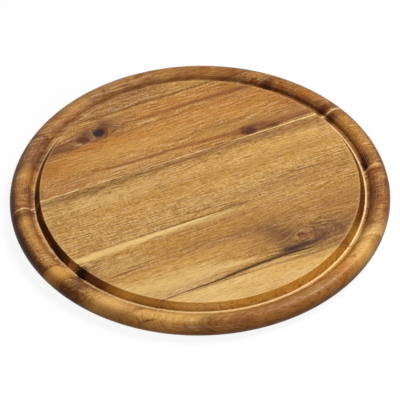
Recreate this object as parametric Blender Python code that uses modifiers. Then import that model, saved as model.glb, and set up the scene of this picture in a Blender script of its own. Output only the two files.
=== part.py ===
"""Round meat cutting board of acacia staves, edge-glued into a panel and then turned.

Metres, +Z up. The origin is the centre of the underside and the grain runs along +X.
"""
import math

import bmesh
import bpy

# Turned shape
BOARD_DIAMETER = 0.250
BOARD_THICKNESS = 0.015
BEAD_DIAMETER = 0.014
BEAD_FOOT_ROUND = 0.002
GROOVE_DEPTH = 0.0056
GROOVE_FLOOR_WIDTH = 0.0016
GROOVE_WALL_RUN = 0.0032
FACE_EDGE_ROUND = 0.0006
FLOOR_CORNER_ROUND = 0.0008

# Staves and the glue between them
BACK_STAVE_WIDTH = 0.0585
MIDDLE_STAVE_WIDTH = 0.0575
FRONT_STAVE_WIDTH = 0.0603
MIDDLE_STAVE_OFFSET = 0.0045
GLUE_FILM = 0.0002
GLUE_FIT_GAP = 0.00005
SAWN_ALLOWANCE = 0.004

# Fineness of the turned faces
TURN_STEPS = 120
BEAD_QUARTER_STEPS = 8
CORNER_ROUND_STEPS = 3
MERGE_DISTANCE = 0.00001
COPLANAR_ANGLE = math.radians(0.2)
SMOOTH_ANGLE = math.radians(30)

# Wood and glue colours, linear RGB
BACK_EDGE_WOOD = (0.43, 0.21, 0.073)
BACK_WOOD = (0.48, 0.23, 0.065)
MIDDLE_WOOD = (0.54, 0.295, 0.092)
FRONT_WOOD = (0.48, 0.246, 0.078)
FRONT_EDGE_WOOD = (0.71, 0.44, 0.16)
GLUE_COLOUR = (0.26, 0.13, 0.05)
WOOD_ROUGHNESS = 0.42
GLUE_ROUGHNESS = 0.5

# Sizes that follow from the ones above
BOARD_RADIUS = BOARD_DIAMETER / 2
BEAD_RADIUS = BEAD_DIAMETER / 2
BEAD_CENTRE = BOARD_RADIUS - BEAD_RADIUS
GROOVE_FLOOR = BOARD_THICKNESS - GROOVE_DEPTH
GLUE_SEAM = GLUE_FILM + 2 * GLUE_FIT_GAP


def clear_scene():
    """Remove what the file starts with."""
    for thing in list(bpy.data.objects):
        bpy.data.objects.remove(thing, do_unlink=True)


def new_collection(name):
    """Add a collection to the scene."""
    collection = bpy.data.collections.new(name)
    bpy.context.scene.collection.children.link(collection)
    return collection


def finish(name, colour, roughness):
    """A plain finish of one colour."""
    material = bpy.data.materials.new(name)
    material.use_nodes = True
    shader = material.node_tree.nodes["Principled BSDF"]
    shader.inputs["Base Color"].default_value = (*colour, 1.0)
    shader.inputs["Roughness"].default_value = roughness
    shader.inputs["Metallic"].default_value = 0.0
    return material


def arc(centre, radius, start, end, steps):
    """Points round an arc in the (r, z) plane, both ends included."""
    points = []
    for step in range(steps + 1):
        angle = start + (end - start) * step / steps
        points.append((centre[0] + radius * math.cos(angle), centre[1] + radius * math.sin(angle)))
    return points


def turned_profile():
    """Half section of the board, from the axis over the top and the rim to the axis below."""
    # The bead is a full round, and a hollow round leads from the groove floor into its inner side
    bead = (BEAD_CENTRE, BEAD_RADIUS)
    foot_rise = GROOVE_FLOOR + BEAD_FOOT_ROUND - BEAD_RADIUS
    foot_reach = math.sqrt((BEAD_RADIUS + BEAD_FOOT_ROUND) ** 2 - foot_rise ** 2)
    foot_round = (BEAD_CENTRE - foot_reach, GROOVE_FLOOR + BEAD_FOOT_ROUND)
    foot_slope = math.atan2(foot_rise, foot_reach)
    floor_inner = foot_round[0] - GROOVE_FLOOR_WIDTH
    face_edge = floor_inner - GROOVE_WALL_RUN
    wall_slope = math.atan2(GROOVE_DEPTH, GROOVE_WALL_RUN)

    # A corner's round leaves both of its sides this share of its radius away from the corner
    tangent_share = math.tan(wall_slope / 2)
    face_round = (face_edge - FACE_EDGE_ROUND * tangent_share, BOARD_THICKNESS - FACE_EDGE_ROUND)
    floor_round = (floor_inner + FLOOR_CORNER_ROUND * tangent_share, GROOVE_FLOOR + FLOOR_CORNER_ROUND)

    up = math.pi / 2
    down = -math.pi / 2
    profile = [(0.0, BOARD_THICKNESS)]
    profile += arc(face_round, FACE_EDGE_ROUND, up, up - wall_slope, CORNER_ROUND_STEPS)
    profile += arc(floor_round, FLOOR_CORNER_ROUND, down - wall_slope, down, CORNER_ROUND_STEPS)
    profile += arc(foot_round, BEAD_FOOT_ROUND, down, -foot_slope, CORNER_ROUND_STEPS)
    profile += arc(bead, BEAD_RADIUS, math.pi - foot_slope, up, BEAD_QUARTER_STEPS)[1:-1]
    profile += arc(bead, BEAD_RADIUS, up, down, 2 * BEAD_QUARTER_STEPS)
    profile.append((0.0, 0.0))
    return profile


def turned_form(collection):
    """The shape that the lathe leaves, as a cutter that every stave is brought to."""
    profile = turned_profile()
    mesh = bpy.data.meshes.new("turned_form")
    links = [(index, index + 1) for index in range(len(profile) - 1)]
    mesh.from_pydata([(r, 0.0, z) for r, z in profile], links, [])
    form = bpy.data.objects.new("turned_form", mesh)
    collection.objects.link(form)
    turn = form.modifiers.new("turn", "SCREW")
    turn.axis = "Z"
    turn.steps = TURN_STEPS
    turn.render_steps = TURN_STEPS
    turn.use_merge_vertices = True
    turn.merge_threshold = MERGE_DISTANCE
    form.hide_render = True
    form.display_type = "WIRE"
    return form


def sawn_plank(name, low, high, board, collection, material):
    """A squared plank from y = low to y = high, with wood to spare on its other sides."""
    length = BOARD_DIAMETER + 2 * SAWN_ALLOWANCE
    height = BOARD_THICKNESS + 2 * SAWN_ALLOWANCE
    mesh = bpy.data.meshes.new(name)
    plank = bmesh.new()
    bmesh.ops.create_cube(plank, size=1.0)
    bmesh.ops.scale(plank, vec=(length, high - low, height), verts=plank.verts)
    plank.to_mesh(mesh)
    plank.free()
    mesh.materials.append(material)
    piece = bpy.data.objects.new(name, mesh)
    piece.parent = board
    piece.location = (0.0, (low + high) / 2, BOARD_THICKNESS / 2)
    collection.objects.link(piece)
    return piece


def turn_to_shape(piece, form):
    """Cut a plank to the turned form and merge the facets that lie in one plane."""
    cut = piece.modifiers.new("turned", "BOOLEAN")
    cut.operation = "INTERSECT"
    cut.solver = "EXACT"
    cut.object = form
    merge = piece.modifiers.new("flat_faces", "DECIMATE")
    merge.decimate_type = "DISSOLVE"
    merge.angle_limit = COPLANAR_ANGLE
    bpy.context.view_layer.update()
    evaluated = piece.evaluated_get(bpy.context.evaluated_depsgraph_get())
    mesh = bpy.data.meshes.new_from_object(evaluated)
    mesh.name = piece.name
    mesh.shade_smooth()
    mesh.set_sharp_from_angle(angle=SMOOTH_ANGLE)
    piece.modifiers.clear()
    piece.data = mesh


def build_board():
    """Lay out the seams, saw the staves and the glue films between them, and turn them all."""
    clear_scene()
    parts = new_collection("meat_cutting_board")
    cutters = new_collection("cutters")
    board = bpy.data.objects.new("board", None)
    parts.objects.link(board)
    form = turned_form(cutters)

    # Seam centre lines, from the back of the board to the front
    back_seam = MIDDLE_STAVE_OFFSET + MIDDLE_STAVE_WIDTH / 2
    front_seam = MIDDLE_STAVE_OFFSET - MIDDLE_STAVE_WIDTH / 2
    back_edge_seam = back_seam + BACK_STAVE_WIDTH
    front_edge_seam = front_seam - FRONT_STAVE_WIDTH
    panel_edge = BOARD_RADIUS + SAWN_ALLOWANCE

    staves = (
        ("back_edge_stave", back_edge_seam, panel_edge, BACK_EDGE_WOOD),
        ("back_stave", back_seam, back_edge_seam, BACK_WOOD),
        ("middle_stave", front_seam, back_seam, MIDDLE_WOOD),
        ("front_stave", front_edge_seam, front_seam, FRONT_WOOD),
        ("front_edge_stave", -panel_edge, front_edge_seam, FRONT_EDGE_WOOD),
    )
    for name, low, high, colour in staves:
        wood = finish(name + "_wood", colour, WOOD_ROUGHNESS)
        stave = sawn_plank(name, low + GLUE_SEAM / 2, high - GLUE_SEAM / 2, board, parts, wood)
        turn_to_shape(stave, form)

    glue_lines = (
        ("back_edge_glue_line", back_edge_seam),
        ("back_glue_line", back_seam),
        ("front_glue_line", front_seam),
        ("front_edge_glue_line", front_edge_seam),
    )
    for name, seam in glue_lines:
        glue = finish(name + "_film", GLUE_COLOUR, GLUE_ROUGHNESS)
        film = sawn_plank(name, seam - GLUE_FILM / 2, seam + GLUE_FILM / 2, board, parts, glue)
        turn_to_shape(film, form)


build_board()
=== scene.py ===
import math

import bpy
from mathutils import Matrix, Vector


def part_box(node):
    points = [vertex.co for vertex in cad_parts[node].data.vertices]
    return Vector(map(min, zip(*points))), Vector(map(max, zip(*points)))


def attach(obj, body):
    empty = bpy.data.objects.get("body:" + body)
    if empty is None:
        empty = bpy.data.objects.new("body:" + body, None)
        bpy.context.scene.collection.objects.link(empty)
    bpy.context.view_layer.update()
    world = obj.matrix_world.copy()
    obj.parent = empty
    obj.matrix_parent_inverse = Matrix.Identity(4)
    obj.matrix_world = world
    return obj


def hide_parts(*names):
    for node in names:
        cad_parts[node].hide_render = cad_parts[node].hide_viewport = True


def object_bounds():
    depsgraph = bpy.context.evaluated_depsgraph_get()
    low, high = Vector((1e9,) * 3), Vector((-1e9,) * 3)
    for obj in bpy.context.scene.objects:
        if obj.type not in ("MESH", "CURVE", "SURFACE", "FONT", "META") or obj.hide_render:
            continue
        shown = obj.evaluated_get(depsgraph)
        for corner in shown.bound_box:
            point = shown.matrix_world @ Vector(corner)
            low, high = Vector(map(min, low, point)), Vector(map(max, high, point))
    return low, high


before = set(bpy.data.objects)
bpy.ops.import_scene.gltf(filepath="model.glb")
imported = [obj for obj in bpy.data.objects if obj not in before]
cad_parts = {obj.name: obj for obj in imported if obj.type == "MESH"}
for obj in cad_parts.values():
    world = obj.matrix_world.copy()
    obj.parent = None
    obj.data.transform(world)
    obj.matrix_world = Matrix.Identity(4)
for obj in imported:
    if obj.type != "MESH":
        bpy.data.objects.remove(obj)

cad_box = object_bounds()

# Back edge stave
# The narrow acacia stave at the back of the panel. It was sawn square, edge-glued to its neighbour and
# turned with the whole panel, which left the cutting face, the juice groove and the bead, then oiled.
MM = 0.001
BOARD_RADIUS = (cad_box[1].x - cad_box[0].x) / 2 / MM
BOARD_THICKNESS = (cad_box[1].z - cad_box[0].z) / MM
BEAD_RADIUS = 7.0
BEAD_FOOT_ROUND = 2.0
GROOVE_DEPTH = 5.6
GROOVE_FLOOR_WIDTH = 1.6
GROOVE_WALL_RUN = 3.2
FACE_EDGE_ROUND = 0.6
FLOOR_CORNER_ROUND = 0.8
SEAM_EASE = 0.06
BEAD_CENTRE = BOARD_RADIUS - BEAD_RADIUS
GROOVE_FLOOR = BOARD_THICKNESS - GROOVE_DEPTH
BEAD_STEP = math.radians(5)
CORNER_STEP = math.radians(12)
TURN_STEP = math.radians(1.2)
SHARP_ANGLE = math.radians(32)


def rounded(centre, radius, start, end, step):
    """Points round an arc of the section, each with the direction that points out of the arc there."""
    steps = math.ceil(abs(end - start) / step)
    points = []
    for index in range(steps + 1):
        angle = start + (end - start) * index / steps
        out = (math.cos(angle), math.sin(angle))
        points.append((centre[0] + radius * out[0], centre[1] + radius * out[1], *out))
    return points


def turned_section():
    """What the turning cutter leaves, from the edge of the cutting face round to the underside."""
    up = math.pi / 2
    down = -math.pi / 2
    bead = (BEAD_CENTRE, BEAD_RADIUS)
    foot_rise = GROOVE_FLOOR + BEAD_FOOT_ROUND - BEAD_RADIUS
    foot_reach = math.sqrt((BEAD_RADIUS + BEAD_FOOT_ROUND) ** 2 - foot_rise ** 2)
    foot_round = (BEAD_CENTRE - foot_reach, GROOVE_FLOOR + BEAD_FOOT_ROUND)
    foot_slope = math.atan2(foot_rise, foot_reach)
    floor_inner = foot_round[0] - GROOVE_FLOOR_WIDTH
    face_edge = floor_inner - GROOVE_WALL_RUN
    slope = math.atan2(GROOVE_DEPTH, GROOVE_WALL_RUN)
    setback = math.tan(slope / 2)
    face_round = (face_edge - FACE_EDGE_ROUND * setback, BOARD_THICKNESS - FACE_EDGE_ROUND)
    floor_round = (floor_inner + FLOOR_CORNER_ROUND * setback, GROOVE_FLOOR + FLOOR_CORNER_ROUND)
    section = rounded(face_round, FACE_EDGE_ROUND, up, up - slope, CORNER_STEP)
    hollow = rounded(floor_round, FLOOR_CORNER_ROUND, down - slope, down, CORNER_STEP)
    hollow += rounded(foot_round, BEAD_FOOT_ROUND, down, -foot_slope, CORNER_STEP)
    section += [(r, z, -out_r, -out_z) for r, z, out_r, out_z in hollow]
    section += rounded(bead, BEAD_RADIUS, math.pi - foot_slope, up, BEAD_STEP)[1:-1]
    section += rounded(bead, BEAD_RADIUS, up, down, BEAD_STEP)
    return section


def rim_stretches(low, high):
    """The stretches of rim between two seams, seen from above and counter-clockwise.
    Each end is its seam, the way into the stave, whether it is on the left, and full turns to add."""
    if high is None:
        return [((low, 1, False, 0), (low, 1, True, 0))]
    if low is None:
        return [((high, -1, True, 0), (high, -1, False, 1))]
    right = ((low, 1, False, 0), (high, -1, False, 0))
    left = ((high, -1, True, 0), (low, 1, True, 0))
    return [right, left]


def crossing(end, radius, ease):
    """The angle at which a stretch's end, or a line just inside it, crosses a circle of the turning."""
    seam, inward, on_left, turns = end
    angle = math.asin((seam + inward * ease) / radius)
    if on_left:
        angle = math.pi - angle
    return angle + turns * 2 * math.pi


def seam_point(end, ring, sink):
    """A point of the section on the seam itself, sunk a little where the arris is eased."""
    r, z, out_r, out_z = ring
    angle = crossing(end, r, 0.0)
    sink_x = out_r * math.cos(angle)
    share = sink / math.hypot(sink_x, out_z)
    return (r * math.cos(angle) - sink_x * share, end[0], z - out_z * share)


def new_piece(name, points, faces):
    """A piece from points in millimetres, shaded smooth between its sharp edges."""
    mesh = bpy.data.meshes.new(name)
    mesh.from_pydata([Vector(point) * MM for point in points], [], faces)
    mesh.shade_smooth()
    mesh.set_sharp_from_angle(angle=SHARP_ANGLE)
    piece = bpy.data.objects.new(name, mesh)
    bpy.context.scene.collection.objects.link(piece)
    return piece


def turned_stave(name, low, high):
    """A stave between two seams, or between a seam and the rim, as the turning leaves it."""
    section = turned_section()
    points = []
    grids = []
    faces = []
    for start, end in rim_stretches(low, high):
        span = crossing(end, BOARD_RADIUS, 0.0) - crossing(start, BOARD_RADIUS, 0.0)
        steps = math.ceil(span / TURN_STEP)
        grid = []
        for ring in section:
            first = crossing(start, ring[0], SEAM_EASE)
            last = crossing(end, ring[0], SEAM_EASE)
            row = [seam_point(start, ring, SEAM_EASE)]
            for step in range(steps + 1):
                angle = first + (last - first) * step / steps
                row.append((ring[0] * math.cos(angle), ring[0] * math.sin(angle), ring[1]))
            row.append(seam_point(end, ring, SEAM_EASE))
            grid.append(range(len(points), len(points) + len(row)))
            points += row
        for upper, lower in zip(grid, grid[1:]):
            for column in range(len(upper) - 1):
                faces.append((upper[column], lower[column], lower[column + 1], upper[column + 1]))
        grids.append(grid)

    # The cutting face, the underside, and at each seam the sawn side and its two eased arrises
    faces.append([index for grid in grids for index in grid[0][1:-1]])
    faces.append([index for grid in reversed(grids) for index in reversed(grid[-1][1:-1])])
    for grid, after in zip(grids, grids[1:] + grids[:1]):
        faces.append((grid[0][-2], grid[0][-1], after[0][0], after[0][1]))
        faces.append((after[-1][1], after[-1][0], grid[-1][-1], grid[-1][-2]))
        faces.append([row[-1] for row in grid] + [row[0] for row in reversed(after)])
    stave = new_piece(name, points, faces)

    # The flat faces, which have more corners than the quads of the turning, end in sharp edges
    mesh = stave.data
    for face in mesh.polygons:
        if face.loop_total > 4:
            for loop in face.loop_indices:
                mesh.edges[mesh.loops[loop].edge_index].use_edge_sharp = True
    return stave


def stain(red, green, blue):
    """A colour given as it looks on a screen, from 0 to 255, as the light that it sends back."""
    shares = [value / 255 for value in (red, green, blue)]
    return (*[s / 12.92 if s <= 0.04045 else ((s + 0.055) / 1.055) ** 2.4 for s in shares], 1.0)


# How the marks in the wood are drawn
NOISE_ROUGHNESS = 0.55
SEED_SHIFT = 7.3
SEED_SHIFT_LESS = 2.1
LINE_STRAY = 12.0
LINE_STRAY_LENGTH = 1.5
LINE_STRAY_WIDTH = 2
LINE_STRAY_DEPTH = 12.0
LINE_BREAK_DEPTH = 8.0
LINE_SHOWS = (0.4, 0.62)
DRIFT_SLENDERNESS = 5
LEAST_HALF_WIDTH = 0.01
MOTTLE_BREADTH = 0.7
MOTTLE_EDGE = 0.08
MOTTLE_RAGGED = 0.3
MOTTLE_FADES = (1.2, 0.6)
FLECK_EDGE = 0.12
FLECK_DEPTH = 3
CORE_SHARE = 1 / 3
MIX_SOCKETS = (0, 6, 7)
MIX_RESULT = 2


class Figure:
    """The figure of one stave's wood, laid out node by node. Lengths are millimetres in the board."""

    def __init__(self, name, seed, tilt=0.0, lean=0.0):
        self.material = bpy.data.materials.new(name)
        self.material.use_nodes = True
        self.tree = self.material.node_tree
        self.shader = self.tree.nodes["Principled BSDF"]
        self.seed = seed
        self.lean = lean
        place = self.add("ShaderNodeTexCoord")
        scaled = self.add("ShaderNodeVectorMath", operation="SCALE")
        self.feed(scaled.inputs[0], place.outputs["Object"])
        self.feed(scaled.inputs["Scale"], 1 / MM)
        split = self.add("ShaderNodeSeparateXYZ")
        self.feed(split.inputs[0], scaled.outputs[0])
        facing = self.add("ShaderNodeSeparateXYZ")
        self.feed(facing.inputs[0], place.outputs["Normal"])
        self.along, self.across, self.height = split.outputs
        self.radius = self.calc("SQRT", self.squares(self.along, self.across))
        self.end_grain = self.calc("ABSOLUTE", facing.outputs[0])
        self.facing_up = facing.outputs[2]
        depth = self.calc("SUBTRACT", self.height, BOARD_THICKNESS)
        self.level = self.calc("MULTIPLY_ADD", depth, math.tan(tilt), self.across)

    def add(self, kind, **settings):
        """A new node with these settings."""
        node = self.tree.nodes.new(kind)
        for key, value in settings.items():
            setattr(node, key, value)
        return node

    def feed(self, socket, value):
        """Link another node's output to a socket, or set the socket's own value."""
        if isinstance(value, bpy.types.NodeSocket):
            self.tree.links.new(value, socket)
        else:
            socket.default_value = value

    def calc(self, operation, *values):
        """The result of one step of arithmetic."""
        node = self.add("ShaderNodeMath", operation=operation)
        for socket, value in zip(node.inputs, values):
            self.feed(socket, value)
        return node.outputs[0]

    def times(self, first, second):
        """The product of two values."""
        return self.calc("MULTIPLY", first, second)

    def squares(self, first, second):
        """The squares of two values, added up."""
        return self.calc("MULTIPLY_ADD", first, first, self.times(second, second))

    def rise(self, value, low, high, start=0.0, end=1.0):
        """A smooth change from start to end as a value goes from low to high."""
        node = self.add("ShaderNodeMapRange", interpolation_type="SMOOTHSTEP")
        for socket, given in zip(node.inputs, (value, low, high, start, end)):
            self.feed(socket, given)
        return node.outputs[0]

    def between(self, value, rising, falling):
        """1 between two soft borders, each given by where it is 0 and where it is 1."""
        return self.times(self.rise(value, *rising), self.rise(value, *falling))

    def noise(self, place, detail):
        """Smooth noise from 0 to 1, with marks about one unit across."""
        node = self.add("ShaderNodeTexNoise")
        self.feed(node.inputs["Vector"], place)
        node.inputs["Scale"].default_value = 1.0
        node.inputs["Detail"].default_value = detail
        node.inputs["Roughness"].default_value = NOISE_ROUGHNESS
        return node.outputs[0]

    def ring_level(self):
        """Where a point lies across the rings, which may lean to one side along the stave."""
        return self.calc("MULTIPLY_ADD", self.along, -self.lean, self.level)

    def streaks(self, length, width, depth, detail=2.0):
        """Noise drawn out along the grain, about this long, this wide across the rings and this deep."""
        self.seed += 1
        joined = self.add("ShaderNodeCombineXYZ")
        sizes = zip(joined.inputs, (self.along, self.ring_level(), self.height), (length, width, depth))
        for step, (socket, value, size) in enumerate(sizes):
            shift = self.seed * (SEED_SHIFT - SEED_SHIFT_LESS * step)
            self.feed(socket, self.calc("MULTIPLY_ADD", value, 1 / size, shift))
        return self.noise(joined.outputs[0], detail)

    def growth_lines(self, spacing, length):
        """Fine lines along the rings, about this far apart, that stray and break off every so often."""
        sizes = (LINE_STRAY_LENGTH * length, LINE_STRAY_WIDTH * spacing, LINE_STRAY_DEPTH)
        stray = self.streaks(*sizes, detail=0.0)
        turns = self.times(stray, LINE_STRAY)
        phase = self.calc("MULTIPLY_ADD", self.ring_level(), 2 * math.pi / spacing, turns)
        shown = self.rise(self.streaks(length, spacing, LINE_BREAK_DEPTH, detail=0.0), *LINE_SHOWS)
        return self.times(self.calc("SINE", phase), shown)

    def turning_marks(self, pitch):
        """Noise that runs round the board, the way a turning tool marks it."""
        joined = self.add("ShaderNodeCombineXYZ")
        for socket, value in zip(joined.inputs, (self.radius, self.height)):
            self.feed(socket, self.times(value, 1 / pitch))
        return self.noise(joined.outputs[0], detail=0.0)

    def part_round(self, centre, radii, push):
        """Lead the rings round a knot, the way they grow round a branch."""
        dx = self.calc("DIVIDE", self.calc("SUBTRACT", self.along, centre[0]), radii[0])
        offset = self.calc("SUBTRACT", self.across, centre[1])
        dy = self.calc("DIVIDE", offset, radii[1])
        share = self.calc("DIVIDE", -push, self.calc("MAXIMUM", self.squares(dx, dy), 1.0))
        self.level = self.calc("MULTIPLY_ADD", offset, share, self.level)

    def wander(self, length, reach):
        """Let the rings stray a little from straight."""
        width = length / DRIFT_SLENDERNESS
        drift = self.streaks(length, width, width, detail=1.0)
        self.level = self.calc("ADD", self.level, self.calc("MULTIPLY_ADD", drift, 2 * reach, -reach))

    def tint(self, share, colour, mode="MIX"):
        """Colour the wood by a share that may differ from place to place."""
        node = self.add("ShaderNodeMix", data_type="RGBA", blend_type=mode)
        for index, value in zip(MIX_SOCKETS, (share, self.colour, colour)):
            self.feed(node.inputs[index], value)
        self.colour = node.outputs[MIX_RESULT]
        return share

    def curve(self, share, points):
        """A smooth curve through lengths that are given along a share from 0 to 1."""
        node = self.add("ShaderNodeFloatCurve")
        line = node.mapping.curves[0]
        while len(line.points) < len(points):
            line.points.new(0.5, 0.5)
        for knot, (at, value) in zip(line.points, points):
            knot.location = (at, 0.5 + value / (2 * BOARD_RADIUS))
            knot.handle_type = "AUTO_CLAMPED"
        node.mapping.update()
        self.feed(node.inputs["Value"], share)
        return self.calc("MULTIPLY_ADD", node.outputs[0], 2 * BOARD_RADIUS, -BOARD_RADIUS)

    def fade(self, distance, soft, strength):
        """Full strength well inside an outline at distance 1, fading out across it."""
        return self.rise(distance, 1.0 + soft / 2, 1.0 - soft, 0.0, strength)

    def vein(self, colour, strength, *path, soft=0.7, ragged=0.5):
        """A streak along the rings through places on the face, each with the streak's half width there."""
        first, last = path[0][0], path[-1][0]
        share = self.add("ShaderNodeMapRange")
        for socket, given in zip(share.inputs, (self.along, first, last)):
            self.feed(socket, given)
        shares = [(x - first) / (last - first) for x, y, half in path]
        middle = self.curve(share.outputs[0], list(zip(shares, [y for x, y, half in path])))
        half = self.curve(share.outputs[0], list(zip(shares, [half for x, y, half in path])))
        off = self.calc("ABSOLUTE", self.calc("SUBTRACT", self.level, middle))
        reach = self.times(half, self.calc("MULTIPLY_ADD", self.fibre, 2 * ragged, 1.0 - ragged))
        off = self.calc("DIVIDE", off, self.calc("MAXIMUM", reach, LEAST_HALF_WIDTH))
        return self.tint(self.fade(off, soft, strength), colour)

    def oval(self, centre, radii, ragged, turn=0.0):
        """The distance from a place on the face, 1 at an oval outline that the fibres make ragged."""
        dx = self.calc("SUBTRACT", self.along, centre[0])
        dy = self.calc("SUBTRACT", self.across, centre[1])
        cos, sin = math.cos(turn), math.sin(turn)
        long = self.calc("MULTIPLY_ADD", dx, cos / radii[0], self.times(dy, sin / radii[0]))
        wide = self.calc("MULTIPLY_ADD", dx, -sin / radii[1], self.times(dy, cos / radii[1]))
        rough = self.calc("MULTIPLY_ADD", self.fibre, 2 * ragged, -ragged)
        return self.calc("ADD", self.calc("SQRT", self.squares(long, wide)), rough)

    def spot(self, colour, strength, centre, radii, soft=0.6, ragged=0.25, turn=0.0):
        """A stain in the wood about a place on the face."""
        distance = self.oval(centre, radii, ragged, turn)
        return self.tint(self.fade(distance, soft, strength), colour)

    def patches(self, *rows):
        """Stains on the face, each with its colour, strength, middle, reach and softness."""
        for colour, strength, middle, reach, soft in rows:
            self.spot(colour, strength, middle, reach, soft)

    def rim_spot(self, colour, strength, bearing, radius, radii, soft=1.0, ragged=0.25):
        """A stain on the rim: bearing in degrees from the right, and radii across and along the rim."""
        turn = math.radians(bearing)
        centre = (radius * math.cos(turn), radius * math.sin(turn))
        return self.spot(colour, strength, centre, radii, soft, ragged, turn)

    def ring(self, colour, strength, centre, radii, width, ragged=0.25, turn=0.0):
        """A line round a place on the face, such as a growth ring of a branch."""
        distance = self.oval(centre, radii, ragged, turn)
        off = self.calc("ABSOLUTE", self.calc("SUBTRACT", distance, 1.0))
        return self.tint(self.rise(off, width, width * CORE_SHARE, 0.0, strength), colour)

    def mottle(self, colour, strength, centre, radii, size, scarce=0.5):
        """Small scribbled marks about a place on the face, where the grain curls round a branch."""
        scribble = self.streaks(size, MOTTLE_BREADTH * size, size)
        marks = self.rise(scribble, scarce, scarce + MOTTLE_EDGE, 0.0, strength)
        inside = self.rise(self.oval(centre, radii, MOTTLE_RAGGED), *MOTTLE_FADES)
        return self.tint(self.times(marks, inside), colour)

    def flecks(self, colour, strength, length, width, scarce=0.6, near=None):
        """Short dashes along the rings, all over the stave or near a line of it, out to a given reach."""
        dashes = self.streaks(length, width, FLECK_DEPTH * width)
        share = self.rise(dashes, scarce, scarce + FLECK_EDGE, 0.0, strength)
        share = self.times(share, self.grain_strength)
        if near:
            line, reach = near
            off = self.calc("ABSOLUTE", self.calc("SUBTRACT", self.level, line))
            share = self.times(share, self.rise(off, reach, reach * CORE_SHARE))
        return self.tint(share, colour)


def in_from_rim(*distances):
    """Radii that lie these distances in from the rim."""
    return [BOARD_RADIUS - distance for distance in distances]


# Colours that every stave shares
PORE = stain(92, 50, 22)
END_GRAIN = stain(140, 66, 26)
ROSY = stain(232, 206, 214)
GILT = stain(255, 238, 176)
PALE = stain(252, 216, 154)
UMBER = stain(92, 48, 18)
SHADOW = stain(200, 176, 122)
BRIGHT = stain(255, 226, 184)
RUDDY = stain(206, 170, 146)
GROOVE_WALL_SHADE = stain(222, 204, 144)
FLOOR_HIGHLIGHT = stain(255, 224, 166)
SIDE_SHADE = stain(228, 214, 194)
UNDER_SHADE = stain(206, 198, 194)
PLAIN_RIM = (255, 255, 255)

# Marks that every stave has: length along the grain, width across the rings, and depth
CLOUD_SIZE = (50.0, 14.0, 40.0)
BAND_SIZE = (140.0, 8.0, 40.0)
FIBRE_SIZE = (6.0, 1.1, 1.0)
SPECK_SIZE = (1.2, 1.8, 1.0)
BLOTCH_SIZE = (9.0, 4.5, 4.0)
ROSY_SIZE = (60.0, 12.0, 20.0)
GILT_SIZE = (70.0, 14.0, 20.0)
FLECK_SIZE = (9.0, 0.9)
DRIFT_LENGTH = 90.0
DRIFT_REACH = 1.2

# How strongly each of them shows, and from which level of its noise to which
CLOUD_SHARE = 0.4
TONE_LEVEL = 0.3
TONE_ENDS = (0.1, 0.9)
ROSY_SHOWS = (0.45, 0.72)
GILT_SHOWS = (0.48, 0.72)
BLOTCH_SHOWS = (0.46, 0.64)
SPECK_SHARE = 1.7
FIBRE_SHARE = 0.5
LINE_SHARE = 0.3
GRAIN_LEVEL = -(SPECK_SHARE + FIBRE_SHARE) / 2
DARK_GRAIN = 1.65
LIGHT_GRAIN = 0.65
FLECK_STRENGTH = 0.4

# Where the grain and the blotches of the rim begin
FACE_TO_RIM = in_from_rim(20.5, 18.0)
BLOTCHED_RIM = in_from_rim(20.0, 17.0)


def acacia(
    name,
    seed,
    tones,
    tilt=10.0,
    lean=0.0,
    knots=(),
    fine=1.0,
    bands_share=0.3,
    blush=0.25,
    blotch=0.8,
    fleck=UMBER,
    spacing=3.2,
    line_length=14.0,
    rim_grain=1.2,
):
    """Start a stave's wood: rings that stray and part round its knots, with broad bands and fine fibres."""
    wood = Figure(name, seed, math.radians(tilt), lean)
    for knot in knots:
        wood.part_round(*knot)
    wood.wander(DRIFT_LENGTH, DRIFT_REACH)
    clouds = wood.streaks(*CLOUD_SIZE, detail=0.0)
    bands = wood.streaks(*BAND_SIZE, detail=0.0)
    lines = wood.growth_lines(spacing, line_length)
    wood.fibre = wood.streaks(*FIBRE_SIZE, detail=0.0)
    specks = wood.streaks(*SPECK_SIZE)
    blotches = wood.streaks(*BLOTCH_SIZE)
    wood.grain_strength = wood.rise(wood.radius, *FACE_TO_RIM, 1.0, rim_grain)

    # The tones from dark to light, by cloud and band
    tone = wood.calc("MULTIPLY_ADD", bands, bands_share, TONE_LEVEL - bands_share / 2)
    tone = wood.calc("MULTIPLY_ADD", clouds, CLOUD_SHARE, tone)
    ramp = wood.add("ShaderNodeValToRGB")
    wood.feed(ramp.inputs[0], tone)
    darkest, lightest = TONE_ENDS
    stops = ramp.color_ramp.elements
    stops[0].position, stops[0].color = darkest, tones[0]
    stops[1].position, stops[1].color = lightest, tones[-1]
    for index, colour in enumerate(tones[1:-1], start=1):
        stops.new(darkest + (lightest - darkest) * index / (len(tones) - 1)).color = colour
    wood.colour = ramp.outputs[0]
    for colour, size, shows in ((ROSY, ROSY_SIZE, ROSY_SHOWS), (GILT, GILT_SIZE, GILT_SHOWS)):
        patches = wood.rise(wood.streaks(*size, detail=0.0), *shows, 0.0, blush)
        wood.tint(patches, colour, "MULTIPLY")

    # The fine grain, darker and lighter than the tone about it
    grain = wood.calc("MULTIPLY_ADD", wood.fibre, FIBRE_SHARE, GRAIN_LEVEL)
    grain = wood.calc("MULTIPLY_ADD", specks, SPECK_SHARE, grain)
    grain = wood.calc("MULTIPLY_ADD", lines, LINE_SHARE, grain)
    grain = wood.times(grain, wood.grain_strength)
    dark = wood.times(grain, -DARK_GRAIN * fine)
    wood.tint(wood.calc("MAXIMUM", dark, 0.0), SHADOW, "MULTIPLY")
    light = wood.times(wood.times(grain, LIGHT_GRAIN * fine), wood.grain_strength)
    wood.tint(wood.calc("MAXIMUM", light, 0.0), BRIGHT)
    wood.flecks(fleck, FLECK_STRENGTH * fine, *FLECK_SIZE)
    blotched = wood.rise(blotches, *BLOTCH_SHOWS, 0.0, blotch)
    wood.tint(wood.times(blotched, wood.rise(wood.radius, *BLOTCHED_RIM)), RUDDY, "MULTIPLY")
    return wood
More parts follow.
